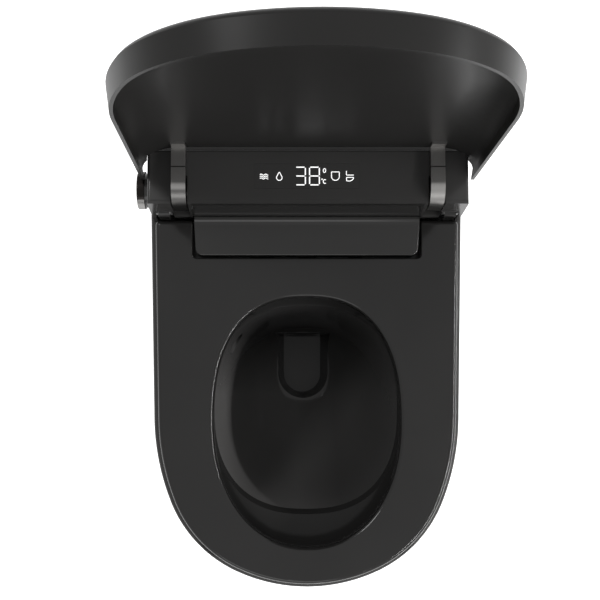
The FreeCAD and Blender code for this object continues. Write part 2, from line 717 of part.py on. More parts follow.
def hood_riser():
    """Upright part of the hood that hides the console's front, with a curved foot."""
    lean = (console_front - console_foot) / (console_top - rim_height)
    low, high = hood_top - 2.0, console_top - step_depth - 1.0
    back_low = console_foot + lean * (low - rim_height) - fit_gap
    back_high = console_foot + lean * (high - rim_height) - fit_gap
    points = [(back_low, low), (back_high, high), (back_high - riser_thick, high),
              (back_low - riser_thick, hood_top), (back_low - riser_thick, low)]
    half = hood_half_rear - 1.5
    riser = prism_yz(points, -half, half)
    y = back_low - riser_thick
    foot = box(-half, half, y - riser_foot, y + 0.2, low, hood_top + riser_foot)
    foot = foot.cut(rod(riser_foot, (-half - 1, y - riser_foot, hood_top + riser_foot),
                        (half + 1, y - riser_foot, hood_top + riser_foot)))
    return riser.fuse(foot)


def make_display_window():
    x0, x1, y0, y1 = window
    gap = 0.15
    return box(x0 + gap, x1 - gap, y0 + gap, y1 - gap, console_top - window_thick, console_top)


def make_display_frame():
    x0, x1, y0, y1 = window
    top, low = console_top - shell_wall, board_height + 14
    frame = box(x0 + 1, x1 - 1, y0, y1, low, top)
    return frame.cut(box(x0 + 5, x1 - 5, y0 + 4, y1 - 4, low - 1, top + 1))


def make_display_board():
    x0, x1, y0, y1 = window
    high = board_height + 14
    return box(x0 + 1, x1 - 1, y0, y1, high - 1.6, high)


# ---- heated seat --------------------------------------------------------------------
def ring(inset, low, high, rear=None):
    """Seat ring: D-shaped outside, oval opening and the notch around the hood."""
    arcs = front_arcs(rim_half, rim_radii, rim_turns, side_slope, rim_front, seat_inset + inset)
    back = (seat_rear if rear is None else rear) - inset
    body = prism(d_wire(arcs, side_slope, widen_end, back, max(6.0 - inset, 2.0), low), high - low)
    opening = prism(oval_wire(open_half + inset, open_front - inset, open_rear + inset, low - 1,
                              (open_fullness, fullness)), high - low + 2)
    notch = rounded_plate(-cut_half - inset, cut_half + inset, cut_front - inset, seat_rear + 30,
                          low - 1, high + 1, 6.0)
    return body.cut(opening).cut(notch)


def rounded_top(solid, top, reach, radius):
    """Round those top edges whose middle lies within the given distance of the axis."""
    edges = []
    for edge in solid.Edges:
        if edge.BoundBox.ZMin > top - 0.01 and reach(edge):
            edges.append(edge)
    return solid.makeFillet(radius, edges)


def is_opening(edge):
    return edge.BoundBox.XLength > 1.9 * open_half and edge.BoundBox.XLength < 2.1 * open_half \
        and edge.BoundBox.YMax < cut_front - 1 and edge.BoundBox.YLength > 200


def is_notch(edge):
    centre = edge.CenterOfMass
    return centre.y > cut_front - 1 and abs(centre.x) < cut_half + 1 and not is_opening(edge)


def make_seat_top():
    low = seat_top - seat_thick
    body = ring(0.0, low, seat_top)
    body = rounded_top(body, seat_top, is_opening, open_round)
    body = rounded_top(body, seat_top, lambda e: not is_opening(e) and not is_notch(e), 6.0)
    body = rounded_top(body, seat_top, is_notch, 1.5)
    return body.cut(ring(shell_wall, low - 1, seat_top - shell_wall - 2.0))


def make_seat_heater():
    high = seat_top - shell_wall - 2.0
    return ring(shell_wall + 8.0, high - 0.5, high)


def make_seat_bottom():
    low = seat_top - seat_thick
    return ring(shell_wall + fit_gap, low, low + shell_wall)


def seat_feet():
    return ((158.0, -110.0), (58.0, -351.0))


def make_seat_bumpers():
    pads = []
    for x, y in seat_feet():
        pad = rod(8.0, (x, y, rim_height), (x, y, seat_top - seat_thick))
        pads += [pad, mirrored(pad)]
    return Part.makeCompound(pads)


def make_seat_arms():
    """Knuckles that join the seat's back edge to its hinge line."""
    y, z = seat_axis
    low = seat_top - seat_thick + 3
    x0, x1 = knuckle_centre - knuckle_width / 2, knuckle_centre + knuckle_width / 2
    root = [(seat_rear, low), (seat_rear, low + 13), (y - knuckle_hub + 1, z + 1), (y + 3, z - knuckle_hub + 1)]
    arm = prism_yz(root, x0, x1).fuse(rod(knuckle_hub, (x0, y, z), (x1, y, z)))
    return pair(arm.cut(rod(shaft_radius + 0.02, (x0 - 1, y, z), (x1 + 1, y, z))).removeSplitter())


def make_seat_shafts():
    y, z = seat_axis
    reach = knuckle_width / 2 + 0.6 + 2.4
    return pair(rod(shaft_radius, (knuckle_centre - reach, y, z), (knuckle_centre + reach, y, z)))


# ---- lid, as it lies closed about its hinge line, then stood up ----------------------
def opened(shape):
    """Turn a piece from the closed lid's own frame (hinge line at the origin, front
    towards -Y, outer face up) to where the open lid stands."""
    out = shape.copy()
    out.rotate(V(0, 0, 0), V(1, 0, 0), -(90.0 + lid_lean))
    out.translate(V(0, lid_axis[0], lid_axis[1]))
    return out


def lid_wire(height, inset):
    arcs = front_arcs(lid_half, lid_radii, lid_turns, lid_slope, -lid_reach, inset)
    return d_wire(arcs, lid_slope, 0.0, 10.0, 3.0, height)


def dome(base, rise, first_inset, run, steps=5):
    """Sections of a quarter-round from a side wall into a flat face."""
    rows = []
    for step in range(steps + 1):
        turn = math.pi / 2 * step / steps
        rows.append((base + rise * math.sin(turn), first_inset + run * (1 - math.cos(turn))))
    return [lid_wire(height, inset) for height, inset in rows]


def lid_space():
    """Inside of the lid's dish."""
    inner_flat = lid_crown - lid_skin
    low = lid_lip - 5.0
    first = lid_wall - 2.2
    base = lid_lip + lid_band * 0.55
    wall_part = Part.makeLoft([lid_wire(low, lid_wall + 1.0), lid_wire(base, first)], True, True)
    return wall_part.fuse(Part.makeLoft(dome(base, inner_flat - base, first, crown_run - 4.0), True, False))


def closed_lid():
    top = lid_lip + lid_band
    band = Part.makeLoft([lid_wire(lid_lip, 0.0), lid_wire(top, -lid_draft)], True, True)
    crown = Part.makeLoft(dome(top, lid_crown - top, -lid_draft + 0.8, crown_run), True, False)
    shell = band.fuse(crown).cut(lid_space())
    keep_box = box(-400, 400, -lid_reach - 50, -lid_start, 0, 100)
    half = console_half + 2.0
    relief = box(-half, half, -lid_relief, 0, lid_lip + 1, lid_crown + 10)
    return shell.common(keep_box).cut(relief).removeSplitter()


def make_lid_shell():
    return opened(closed_lid())


def make_lid_arm():
    """Hooked arm: from the hinge line out of its slot, up and back over the console."""
    x0, x1 = arm_centre - arm_width / 2, arm_centre + arm_width / 2
    flat = lid_crown - lid_skin

    def plate(q0, q1, t0, t1):
        return box(x0, x1, -t1, -t0, q0, q1)

    hook = plate(-arm_front, flat, -8.0, arm_top)
    inner = plate(-arm_front + arm_thick, flat + 5, -20.0, arm_top - arm_thick)
    inner = inner.makeFillet(arm_round - arm_thick, [
        e for e in inner.Edges if is_corner(e, arm_top - arm_thick, -arm_front + arm_thick)])
    hook = hook.makeFillet(arm_round, [e for e in hook.Edges if is_corner(e, arm_top, -arm_front)])
    hook = hook.makeFillet(6.0, [e for e in hook.Edges if is_corner(e, -8.0, -arm_front)])
    hook = hook.cut(inner)
    hub = rod(arm_hub, (x0, 0, 0), (x1, 0, 0)).fuse(plate(-arm_front + 2, 0.0, -8.0, 8.0))
    foot = plate(flat - 2.5, flat, arm_top - arm_thick + 2, arm_top + 14)
    arm = fused([hook, hub, foot]).cut(rod(shaft_radius + 0.02, (x0 - 1, 0, 0), (x1 + 1, 0, 0)))
    return opened(arm.cut(closed_lid()))


def is_corner(edge, reach, height):
    """Edge along X at the given distance from the hinge line and height."""
    centre = edge.CenterOfMass
    return edge.BoundBox.XLength > 5 and abs(centre.y + reach) < 0.1 and abs(centre.z - height) < 0.1


def make_lid_shafts():
    y, z = lid_axis
    return pair(rod(shaft_radius, (damper_inner + 20, y, z), (arm_centre + arm_width / 2 + slot_gap + 1.4, y, z)))


def make_lid_dampers():
    y, z = lid_axis
    outer = arm_centre - arm_width / 2 - slot_gap - slot_wall
    can = rod(damper_radius, (damper_inner, y, z), (outer, y, z))
    can = can.cut(rod(shaft_radius + running, (damper_inner + 19, y, z), (outer + 1, y, z)))
    return pair(can)


# ---- control knob -------------------------------------------------------------------
def make_knob():
    y, z = knob_centre
    face = -console_half - knob_stand_off
    cap = rod(knob_radius, (face - knob_width, y, z), (face, y, z))
    cap = cap.makeFillet(1.5, [e for e in cap.Edges if e.BoundBox.XMax < face - knob_width + 1])
    return cap.cut(rod(knob_stem + running, (face - knob_width + 4, y, z), (face + 1, y, z)))


def make_knob_collar():
    y, z = knob_centre
    face = -console_half - knob_stand_off + 0.2
    far = -console_half - knob_travel - fit_gap
    return tube(collar_radius, knob_stem + 0.02, (face, y, z), (far, y, z))


def make_knob_stem():
    y, z = knob_centre
    face = -console_half - knob_stand_off
    return rod(knob_stem, (face - knob_width + 4.1, y, z), (-console_half + 12, y, z))


def make_knob_board():
    y, z = knob_centre
    x = -console_half + 12 + knob_travel + 0.6
    return box(x, x + 8.5, y - 12, y + 12, rim_height + base_thick, z + 12)


# ---- washing nozzle -----------------------------------------------------------------
def tilted(shape):
    """Place a piece drawn along -Y from the wand's tip at its slope behind the bowl."""
    out = shape.copy()
    out.rotate(V(0, 0, 0), V(1, 0, 0), nozzle_tilt)
    out.translate(V(nozzle_x, nozzle_tip[0], nozzle_tip[1]))
    return out


def make_wand():
    tube_part = tube(wand_radius, wand_radius - 2.5, (0, tip_length, 0), (0, wand_length, 0))
    plug = rod(wand_radius, (0, wand_length - 5, 0), (0, wand_length, 0))
    return tilted(tube_part.fuse(plug).removeSplitter())


def make_wand_tip():
    tip = rod(wand_radius, (0, 0, 0), (0, tip_length, 0))
    tip = tip.makeFillet(2.0, [e for e in tip.Edges if e.BoundBox.YMax < 0.01])
    for row in range(3):
        tip = tip.cut(rod(0.8, (0, 6 + 4 * row, 2), (0, 6 + 4 * row, wand_radius + 1)))
    return tilted(tip)


def make_nozzle_guide():
    block = box(-guide_half, guide_half, 1, guide_length, -12, 12)
    block = block.cut(rod(wand_radius + running * 2, (0, -1, 0), (0, guide_length + 1, 0)))
    window_cut = box(-5, 5, motor_at - 5, motor_at + 5, wand_radius - 3, guide_half)
    return tilted(block.cut(window_cut)).fuse(nozzle_stand()).removeSplitter()


def nozzle_stand():
    """Foot that carries the guide on the floor of the recess."""
    slope = math.radians(nozzle_tilt)
    y, z = nozzle_tip
    points = []
    for along in (8.0, 62.0):
        points.append((y + along * math.cos(slope) + 12 * math.sin(slope),
                       z + along * math.sin(slope) - 12 * math.cos(slope)))
    (y0, z0), (y1, z1) = points
    foot = prism_yz([(y0, pocket_floor), (y1, pocket_floor), (y1, z1), (y0, z0)],
                    nozzle_x - guide_half + 2, nozzle_x + guide_half - 2)
    return foot


def make_wand_motor():
    """Gearbox over the guide's slot, with its motor alongside."""
    top = guide_half - 3
    box_part = box(-6.5, guide_half + 3, motor_at - 7, motor_at + 7, top, top + 8.5)
    can = rod(motor_radius, (guide_half + 3, motor_at, top + 2), (guide_half + 19, motor_at, top + 2))
    return tilted(box_part.fuse(can))


# ---- warm air dryer -----------------------------------------------------------------
def duct_points(inset):
    """Side outline of the duct from the bowl up to the blower."""
    front = duct_front - (1 if inset else 0)
    back = blower_mouth + (1 if inset else 0)
    return [(front, outlet_low + inset), (front, outlet_high - inset), (62, air_high - inset),
            (back, air_high - inset), (back, air_low + inset), (70, air_low + inset)]


def make_warm_duct():
    outer = prism_yz(duct_points(0.0), duct_x - duct_half, duct_x + duct_half)
    inner = prism_yz(duct_points(duct_wall), duct_x - duct_half + duct_wall, duct_x + duct_half - duct_wall)
    duct = outer.cut(inner)
    y, z = duct_front - fit_gap - flap_thick / 2, outlet_high + 1.6
    foot = box(duct_x - 8, duct_x + 8, 0, 12, pocket_floor, outlet_low + 10)
    ears = []
    for x in (duct_x - duct_half, duct_x + duct_half - 2):
        ear = box(x, x + 2, y - 2, duct_front + 4, z - 2, z + 2).cut(rod(1.0, (x - 1, y, z), (x + 3, y, z)))
        ears.append(ear)
    return duct.multiFuse([foot.cut(inner)] + ears).removeSplitter()


def make_air_flap():
    y, z = duct_front - fit_gap - flap_thick / 2, outlet_high + 1.6
    x0, x1 = duct_x - duct_half + 2.5, duct_x + duct_half - 2.5
    plate = box(x0, x1, y - flap_thick / 2, y + flap_thick / 2, outlet_low + 1, z)
    pin = rod(1.0 - running, (x0 - 2.2, y, z), (x1 + 2.2, y, z))
    return plate.fuse(pin).fuse(rod(1.5, (x0, y, z), (x1, y, z)))


def make_blower_case():
    y, z = scroll_centre
    x0, x1 = duct_x - duct_half, duct_x + duct_half
    case = rod(scroll_radius, (x0, y, z), (x1, y, z)).fuse(box(x0, x1, blower_mouth, y, air_low, air_high))
    throat = box(x0 + 2, x1 - 2, blower_mouth - 1, y, air_low + 2, air_high - 2)
    room = rod(scroll_radius - 2, (x0 + 2, y, z), (x1 - 2, y, z)).fuse(throat)
    foot = box(x0, x1, y - 12, y + 12, rim_height + base_thick, z - 20)
    case = case.fuse(foot).cut(room)
    case = case.cut(rod(9.0, (x0 - 1, y, z), (x0 + 3, y, z)))
    return case.cut(rod(2.6, (x1 - 3, y, z), (x1 + 1, y, z))).removeSplitter()


def make_blower_wheel():
    y, z = scroll_centre
    x0, x1 = duct_x - duct_half + 4, duct_x + duct_half - 6
    disc = rod(wheel_radius, (x1 - 2, y, z), (x1, y, z))
    rim = tube(wheel_radius, wheel_radius - 1.5, (x0, y, z), (x0 + 2, y, z))
    hub = rod(5.0, (x1 - 14, y, z), (x1, y, z)).fuse(rod(2.0, (x1, y, z), (x1 + 9, y, z)))
    blades = []
    for index in range(blade_count):
        turn = 2 * math.pi * index / blade_count
        blade = box(x0, x1, -0.6, 0.6, wheel_radius - 5.5, wheel_radius - 0.4)
        blade.rotate(V(0, 0, 0), V(1, 0, 0), math.degrees(turn))
        blade.translate(V(0, y, z))
        blades.append(blade)
    return fused([disc, rim, hub] + blades)


def make_blower_motor():
    y, z = scroll_centre
    x0 = duct_x + duct_half
    can = rod(14.0, (x0, y, z), (x0 + 18, y, z))
    return can.cut(rod(2.0 + running, (x0 - 1, y, z), (x0 + 6, y, z)))


# ---- deodoriser ---------------------------------------------------------------------
def make_deodoriser_case():
    y = (filter_front + filter_rear) / 2
    low = rim_height + base_thick
    x0, x1 = filter_inner - 26, filter_inner - 1
    case = box(x0, x1, y - 21, y + 21, low, low + 40)
    room = rod(18.0, (x0 + 2, y, low + 20), (x1 - 2, y, low + 20))
    middle = (filter_low + filter_high) / 2
    mouth_cut = rod(6.5, (x1 - 3, y, middle), (x1 + 1, y, middle))
    case = case.cut(room).cut(rod(2.0 + running, (x0 + 0.8, y, low + 20), (x0 + 3, y, low + 20)))
    return case.fuse(filter_tray()).cut(mouth_cut).removeSplitter()


def make_deodoriser_fan():
    y = (filter_front + filter_rear) / 2
    z = rim_height + base_thick + 20
    x0 = filter_inner - 26
    hub = rod(6.0, (x0 + 4, y, z), (x0 + 14, y, z)).fuse(rod(2.0, (x0 + 1, y, z), (x0 + 5, y, z)))
    vanes = []
    for index in range(7):
        vane = box(x0 + 5, x0 + 13, -0.7, 0.7, 5.0, 16.5)
        vane.rotate(V(x0 + 9, 0, 10), V(0, 0, 1), 28)
        vane.rotate(V(0, 0, 0), V(1, 0, 0), 360.0 * index / 7)
        vane.translate(V(0, y, z))
        vanes.append(vane)
    return fused([hub] + vanes)


def make_filter_drawer():
    body = box(filter_inner, console_half, filter_front, filter_rear, filter_low, filter_high)
    body = body.makeFillet(1.0, [e for e in body.Edges if e.BoundBox.XMin > console_half - 0.1])
    for index in range(6):
        x = filter_inner + 8 + 12 * index
        body = body.cut(box(x, x + 8, filter_front + 5, filter_rear - 5, filter_low + 4, filter_high + 1))
    return body.cut(box(console_half - 6, console_half + 1, filter_front + 8, filter_rear - 8,
                        filter_high - 7, filter_high + 1))


def filter_tray():
    """Runner on the base plate that the filter drawer slides on."""
    low = rim_height + base_thick
    tray = box(filter_inner - 1, console_half - shell_wall - fit_gap, filter_front - 2.6, filter_rear + 2.6,
               low, filter_low + 6)
    room = box(filter_inner - fit_gap, console_half, filter_front - fit_gap, filter_rear + fit_gap,
               filter_low - fit_gap, filter_low + 20)
    return tray.cut(room)


# ---- water and electronics in the console --------------------------------------------
def make_water_heater():
    low = rim_height + base_thick
    tank_part = rounded_plate(-98, -54, 92, 136, low, low + 58, 6.0)
    ports = [rod(4.0, (x, 114, low + 58), (x, 114, low + 62)) for x in (-88, -66)]
    return fused([tank_part] + ports)


def make_diverter():
    low = rim_height + base_thick
    body = rounded_plate(-138, -102, 94, 136, low, low + 22, 4.0)
    return body.fuse(rod(9.0, (-120, 124, low + 22), (-120, 124, low + 34)))


def make_main_board():
    x0, x1, y0, y1 = board_place
    return box(x0, x1, y0, y1, board_height, board_height + 1.6)


def make_board_posts():
    x0, x1, y0, y1 = board_place
    posts = []
    for x in (x0 + 4, x1 - 4):
        for y in (y0 + 3, y1 - 3):
            posts.append(rod(2.6, (x, y, rim_height + base_thick), (x, y, board_height)))
    return Part.makeCompound(posts + display_posts())


def display_posts():
    x0, x1, y0, y1 = window
    posts = []
    for x in (board_place[0] + 6, x1 - 16):
        for y in (y0 + 6, y1 - 6):
            posts.append(rod(2.0, (x, y, board_height + 1.6), (x, y, board_height + 12.4)))
    return posts


def make_power_supply():
    return rounded_plate(-188, -138, 165, 262, rim_height, rim_height + 36, 4.0)


PIECES = {
    "pan": make_pan, "bowl": make_bowl, "trap": make_trap, "outlet_sleeve": make_outlet_sleeve,
    "floor_brackets": make_floor_brackets, "side_screws": make_side_screws, "side_caps": make_side_caps, "water_inlet": make_water_inlet,
    "inlet_valve": make_inlet_valve, "inlet_union": make_inlet_union, "supply_hose": make_supply_hose,
    "power_gland": make_power_gland, "tank": make_tank, "tank_lid": make_tank_lid,
    "fill_valve": make_fill_valve, "float_cup": make_float_cup, "pump_body": make_pump_body,
    "pump_motor": make_pump_motor, "jet_hose": make_jet_hose, "seat_base": make_seat_base,
    "fixing_bolts": make_fixing_bolts, "console": make_console, "rear_cover": make_rear_cover,
    "hood": make_hood, "display_window": make_display_window, "display_frame": make_display_frame,
    "display_board": make_display_board, "seat_top": make_seat_top, "seat_heater": make_seat_heater, "seat_bottom": make_seat_bottom,
    "seat_bumpers": make_seat_bumpers, "seat_arms": make_seat_arms, "seat_shafts": make_seat_shafts,
    "lid_shell": make_lid_shell, "lid_arm_right": make_lid_arm,
    "lid_arm_left": lambda: mirrored(make_lid_arm()), "lid_shafts": make_lid_shafts,
    "lid_dampers": make_lid_dampers, "knob": make_knob, "knob_stem": make_knob_stem,
    "knob_collar": make_knob_collar,
    "knob_board": make_knob_board, "wand": make_wand, "wand_tip": make_wand_tip,
    "nozzle_guide": make_nozzle_guide, "wand_motor": make_wand_motor, "warm_duct": make_warm_duct,
    "air_flap": make_air_flap, "blower_case": make_blower_case, "blower_wheel": make_blower_wheel,
    "blower_motor": make_blower_motor, "deodoriser_case": make_deodoriser_case,
    "deodoriser_fan": make_deodoriser_fan, "filter_drawer": make_filter_drawer,
    "water_heater": make_water_heater, "diverter": make_diverter,
    "main_board": make_main_board, "board_posts": make_board_posts, "power_supply": make_power_supply,
}

os.makedirs("parts", exist_ok=True)
for piece_name, make_piece in PIECES.items():
    keep(make_piece(), piece_name)
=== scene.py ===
import math

import bmesh
import bpy
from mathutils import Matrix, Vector


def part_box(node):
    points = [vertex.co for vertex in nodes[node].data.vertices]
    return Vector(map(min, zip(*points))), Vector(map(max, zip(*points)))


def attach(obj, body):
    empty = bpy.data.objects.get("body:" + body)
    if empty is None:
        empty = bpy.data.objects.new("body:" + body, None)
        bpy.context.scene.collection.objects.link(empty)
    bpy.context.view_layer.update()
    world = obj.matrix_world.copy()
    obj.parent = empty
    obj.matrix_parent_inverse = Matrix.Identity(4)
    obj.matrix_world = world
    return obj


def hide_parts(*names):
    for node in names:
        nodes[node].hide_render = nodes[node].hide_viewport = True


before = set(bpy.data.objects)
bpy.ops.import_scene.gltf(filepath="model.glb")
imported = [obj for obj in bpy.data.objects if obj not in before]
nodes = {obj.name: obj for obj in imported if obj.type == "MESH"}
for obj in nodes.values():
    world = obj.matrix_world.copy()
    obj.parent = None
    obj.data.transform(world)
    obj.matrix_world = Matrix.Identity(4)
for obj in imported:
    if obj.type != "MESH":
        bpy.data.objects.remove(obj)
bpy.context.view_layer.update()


# ---- Viewpoint ------------------------------------------------------------------------
# The view is almost straight down from 1.3 m above the seat, tilted a little towards the
# lid, with the optical centre left of the middle.
camera_data = bpy.data.cameras.new("camera")
camera_data.sensor_width = 36.0
camera_data.lens = 64.41
camera_data.shift_x = 0.0347
camera = bpy.data.objects.new("camera", camera_data)
camera.location = (-0.0341, -0.1420, 1.7248)
camera.rotation_euler = (0.082, 0.0, 0.0)
bpy.context.scene.collection.objects.link(camera)
bpy.context.scene.camera = camera
bpy.context.scene.view_settings.view_transform = "Standard"


# ---- Ceramic pan ----------------------------------------------------------------------
# The body is vitreous china: skirt, rim with its ledge, bowl, sump and trap passage, under
# a gloss black glaze with a faint orange-peel ripple. Painted shade darkens the glaze on the
# front of the ledge inside the rim. The bowl has its own copy of the glaze, brightened as
# painted light, most on its front left, with painted shade towards its rear.
weld_distance = 1e-6
crease_angle = math.radians(28.0)


class Field:
    """A number that changes over a surface; arithmetic on it adds Math nodes."""

    def __init__(self, paint, socket):
        self.paint, self.socket = paint, socket

    def _with(self, operation, other):
        return self.paint.node("ShaderNodeMath", {"operation": operation}, {0: self, 1: other})

    def __add__(self, other):
        return self._with("ADD", other)

    def __sub__(self, other):
        return self._with("SUBTRACT", other)

    def __mul__(self, other):
        return self._with("MULTIPLY", other)

    def __pow__(self, other):
        return self._with("POWER", other)

    __radd__ = __add__
    __rmul__ = __mul__


class Paint:
    """One finish, as a Principled shader whose inputs are set by name."""

    def __init__(self, name, **uniform):
        self.material = bpy.data.materials.new(name)
        self.material.use_nodes = True
        self.tree = self.material.node_tree
        self.shader = self.tree.nodes["Principled BSDF"]
        self.place = self.tree.nodes.new("ShaderNodeTexCoord").outputs["Object"]
        for words, value in uniform.items():
            self.shader.inputs[words.replace("_", " ")].default_value = value

    def node(self, kind, settings, sockets, output=0):
        """New shader node with its settings and inputs; gives back one of its outputs."""
        made = self.tree.nodes.new(kind)
        for words, value in settings.items():
            setattr(made, words, value)
        for key, value in sockets.items():
            self.feed(made.inputs[key], value)
        return Field(self, made.outputs[output])

    def feed(self, socket, value):
        """Link a field or a socket to an input, or write a plain value into it."""
        if isinstance(value, Field):
            self.tree.links.new(value.socket, socket)
        elif isinstance(value, bpy.types.NodeSocket):
            self.tree.links.new(value, socket)
        else:
            socket.default_value = value

    def set(self, words, value):
        self.feed(self.shader.inputs[words], value)

    def noise(self, scale, detail=2.0, rough=0.5, stretch=(1, 1, 1)):
        """Cloudy unevenness fixed to the object, finer with the scale."""
        where = self.node("ShaderNodeMapping", {}, {"Vector": self.place, "Scale": stretch})
        return self.node("ShaderNodeTexNoise", {}, {
            "Vector": where, "Scale": scale, "Detail": detail, "Roughness": rough})

    def along(self, axis):
        """Place on the object along X, Y or Z, in metres."""
        return self.node("ShaderNodeSeparateXYZ", {}, {"Vector": self.place}, axis)

    def step(self, value, start, end):
        """Share that rises from 0 to 1 while the value goes from start to end."""
        return self.node("ShaderNodeMapRange", {}, {
            "Value": value, "From Min": start, "From Max": end})

    def between(self, low, high, share):
        """Colour that runs from one to the other with the share."""
        low, high = (end if isinstance(end, Field) else (*end, 1) for end in (low, high))
        return self.node("ShaderNodeMix", {"data_type": "RGBA"}, {0: share, 6: low, 7: high}, 2)

    def bump(self, height, distance):
        """Relief of the given depth in metres, felt by light only."""
        self.set("Normal", self.node("ShaderNodeBump", {}, {
            "Strength": 1.0, "Distance": distance, "Height": height}))


def finished(node, paint, body):
    """Smooth copy of a CAD node with crisp edges kept, in its finish, in the node's place."""
    mesh = nodes[node].data.copy()
    mesh.name = node + "_finished"
    work = bmesh.new()
    work.from_mesh(mesh)
    bmesh.ops.remove_doubles(work, verts=work.verts, dist=weld_distance)
    bmesh.ops.dissolve_degenerate(work, edges=work.edges, dist=weld_distance)
    for edge in work.edges:
        edge.smooth = edge.calc_face_angle(math.pi) < crease_angle
    for face in work.faces:
        face.smooth = True
    work.to_mesh(mesh)
    work.free()
    if mesh.has_custom_normals:
        mesh.attributes.remove(mesh.attributes["custom_normal"])
    mesh.materials.clear()
    mesh.materials.append(paint.material)
    piece = bpy.data.objects.new(node + "_finished", mesh)
    bpy.context.scene.collection.objects.link(piece)
    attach(piece, body)
    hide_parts(node)


glaze = Paint("black_glaze", Roughness=0.10, Specular_IOR_Level=0.13)
glaze_cloud = glaze.noise(7.0, 3.0)
ripple = glaze.noise(90.0, 1.0)
ripple_depth = 0.00006
skirt_black = glaze.between((0.0340, 0.0332, 0.0326), (0.0410, 0.0402, 0.0396), glaze_cloud)
# Painted shade: the front of the ledge inside the rim gets a darker black than the rest of the glaze.
ledge_painted_shade = glaze.between((0.0170, 0.0166, 0.0163), (0.0200, 0.0196, 0.0192), glaze_cloud)
ledge_side_squared = (0.0190, 0.0165)
ledge_front = (-0.350, -0.345)
on_ledge_side = glaze.step(glaze.along(0) ** 2.0, *ledge_side_squared)
on_ledge_front = glaze.step(glaze.along(1), *ledge_front)
glaze.set("Base Color", glaze.between(skirt_black, ledge_painted_shade, on_ledge_side * on_ledge_front))
glaze.set("Roughness", 0.07 + 0.06 * glaze_cloud)
glaze.bump(ripple, ripple_depth)

# Painted light: the bowl gets a much brighter copy of the glaze, brightest on its front left, with
# painted shade towards its rear.
bowl_glaze_painted_light = Paint("bowl_glaze_painted_light", Roughness=0.10, Specular_IOR_Level=0.16)
bowl_cloud = bowl_glaze_painted_light.noise(7.0, 3.0)
bowl_left_painted_light = bowl_glaze_painted_light.between((0.072, 0.0705, 0.0694), (0.082, 0.0803, 0.0790), bowl_cloud)
bowl_right_painted_light = bowl_glaze_painted_light.between((0.042, 0.0411, 0.0405), (0.048, 0.0470, 0.0463), bowl_cloud)
bowl_rear_painted_shade = bowl_glaze_painted_light.between((0.0210, 0.0205, 0.0202), (0.0250, 0.0245, 0.0241), bowl_cloud)
to_right = bowl_glaze_painted_light.step(bowl_glaze_painted_light.along(0), -0.010, 0.045)
to_rear = bowl_glaze_painted_light.step(bowl_glaze_painted_light.along(1), -0.150, -0.070)
bowl_front_painted_light = bowl_glaze_painted_light.between(bowl_left_painted_light, bowl_right_painted_light, to_right)
bowl_glaze_painted_light.set("Base Color", bowl_glaze_painted_light.between(bowl_front_painted_light, bowl_rear_painted_shade, to_rear))
bowl_glaze_painted_light.set("Roughness", 0.07 + 0.06 * bowl_cloud)
bowl_glaze_painted_light.bump(bowl_glaze_painted_light.noise(90.0, 1.0), ripple_depth)

finished("pan", glaze, "toilet")
finished("bowl", bowl_glaze_painted_light, "toilet")
finished("trap", glaze, "toilet")


# ---- Black shells of the seat and the rear cover ----------------------------------------
# Injection-moulded ABS in black, polished in the tool. The faces are glossy with a very
# slight waviness from cooling and hairline wipe marks that only dull the shine.
shell_black = Paint("black_shell", Roughness=0.12, Specular_IOR_Level=0.29)
cooling = shell_black.noise(11.0, 2.0)
wipes = shell_black.noise(38.0, 5.0, 0.62, (1.0, 7.0, 1.0))
shell_black.set("Base Color", shell_black.between(
    (0.0105, 0.0102, 0.0100), (0.0140, 0.0137, 0.0134), cooling))
shell_black.set("Roughness", 0.09 + 0.04 * cooling + 0.05 * wipes ** 3.0)
shell_black.bump(cooling + 0.02 * wipes, 0.00012)
finished("seat_top", shell_black, "seat")
finished("seat_bottom", shell_black, "seat")
finished("seat_arms", shell_black, "seat")
finished("rear_cover", shell_black, "toilet")
finished("side_caps", shell_black, "toilet")


# ---- Lid --------------------------------------------------------------------------------
# The lid is moulded in the same black. Its dished inner face and side band come from a
# satin tool, so they return light as a wide soft glow instead of a mirror image.
lid_black = Paint("lid_black", Roughness=0.34, Specular_IOR_Level=0.20)
satin = lid_black.noise(8.0, 2.0)
lid_black.set("Base Color", lid_black.between(
    (0.0105, 0.0102, 0.0098), (0.0130, 0.0126, 0.0122), satin))
lid_black.set("Roughness", 0.31 + 0.06 * satin)
lid_black.bump(satin, 0.0001)
finished("lid_shell", lid_black, "lid")


# ---- Hood over the washing parts --------------------------------------------------------
# Removable cover between the seat's two rear ears, moulded in the same black but with a
# finer polish than the seat. It drops over the nozzle and the warm air duct.
hood_black = Paint("hood_black", Roughness=0.14, Specular_IOR_Level=0.36)
sweep = hood_black.noise(9.0, 2.0)
hood_black.set("Base Color", hood_black.between(
    (0.0120, 0.0118, 0.0115), (0.0150, 0.0146, 0.0142), sweep))
hood_black.set("Roughness", 0.11 + 0.06 * sweep)
hood_black.bump(sweep, 0.0001)
finished("hood", hood_black, "toilet")


# ---- Console ----------------------------------------------------------------------------
# The housing behind the seat is painted a slightly greyer black than the seat shell, as
# painted light that brightens it. Its top is flat around the display window.
console_black_painted_light = Paint("console_black_painted_light", Roughness=0.16, Specular_IOR_Level=0.36)
console_mottle = console_black_painted_light.noise(10.0, 2.0)
# Painted light: the console's black is raised above the seat shell's.
console_black_painted_light.set("Base Color", console_black_painted_light.between(
    (0.0250, 0.0245, 0.0240), (0.0300, 0.0295, 0.0290), console_mottle))
console_black_painted_light.set("Roughness", 0.14 + 0.05 * console_mottle)
console_black_painted_light.bump(console_mottle, 0.0001)
finished("console", console_black_painted_light, "toilet")


